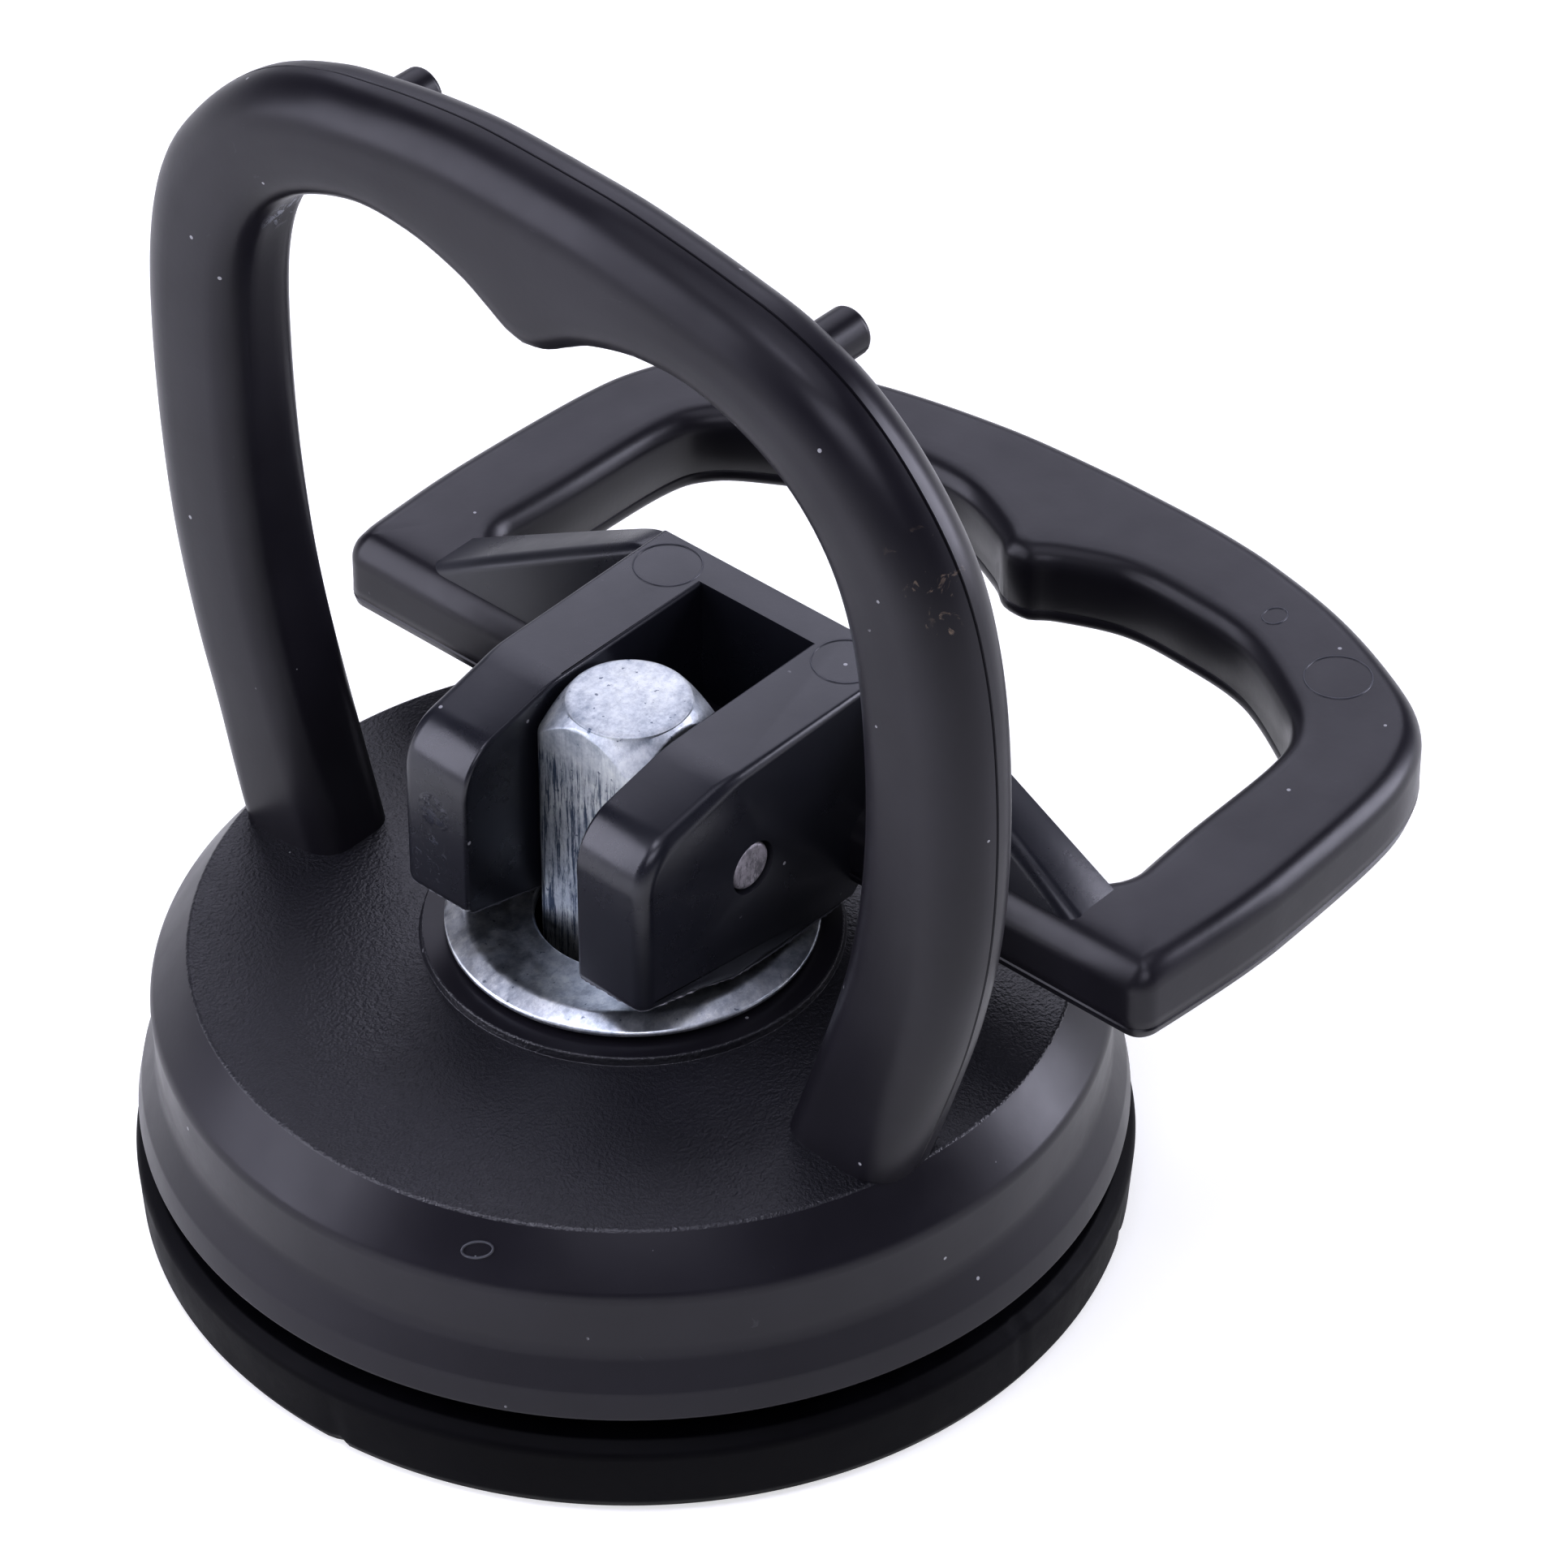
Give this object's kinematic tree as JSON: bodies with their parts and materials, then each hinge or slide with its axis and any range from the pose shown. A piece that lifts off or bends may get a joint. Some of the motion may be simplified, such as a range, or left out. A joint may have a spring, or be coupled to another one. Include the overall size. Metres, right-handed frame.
{
  "type": "suction cup",
  "caption": "Lever-operated vacuum suction cup: flat round rubber pad under a domed plastic housing with a carrying arch, lifted by a folding cam lever with a finger loop",
  "frame": {"origin": "centre of the pad's flat grip face, on the stud's axis", "axes": "+Z along the stud, away from the gripped surface; +X the way the released lever points; Y along the pivot pin and across the carrying arch"},
  "size_m": [0.0697, 0.0592, 0.071],
  "materials": {
    "black_plastic": "satin, finely textured",
    "black_rubber": "satin",
    "zinc_plate": "bright zinc plating with fine draw marks",
    "pin_steel": "rough cut face"
  },
  "bodies": {
    "base": {"housing": "black_plastic", "washer": "zinc_plate", "rubber_pad": "black_rubber"},
    "drawbar": {"stud": "zinc_plate", "insert_plate": "zinc_plate", "pivot_pin": "pin_steel"},
    "lever": {"lever": "black_plastic"}
  },
  "joints": [
    {"name": "stud_lift", "type": "slide", "parent": "base", "child": "drawbar", "axis": [0, 0, 1], "range_m": [0, 0.0045], "deforming": ["rubber_pad"]},
    {"name": "lever_turn", "type": "hinge", "parent": "drawbar", "child": "lever", "pos_m": [0, 0, 0.02645], "axis": [0, -1, 0], "range_deg": [0, 90]}
  ],
  "couplings": [
    {"joint": "lever_turn", "follows": "stud_lift", "rad_per_m": 349}
  ]
}
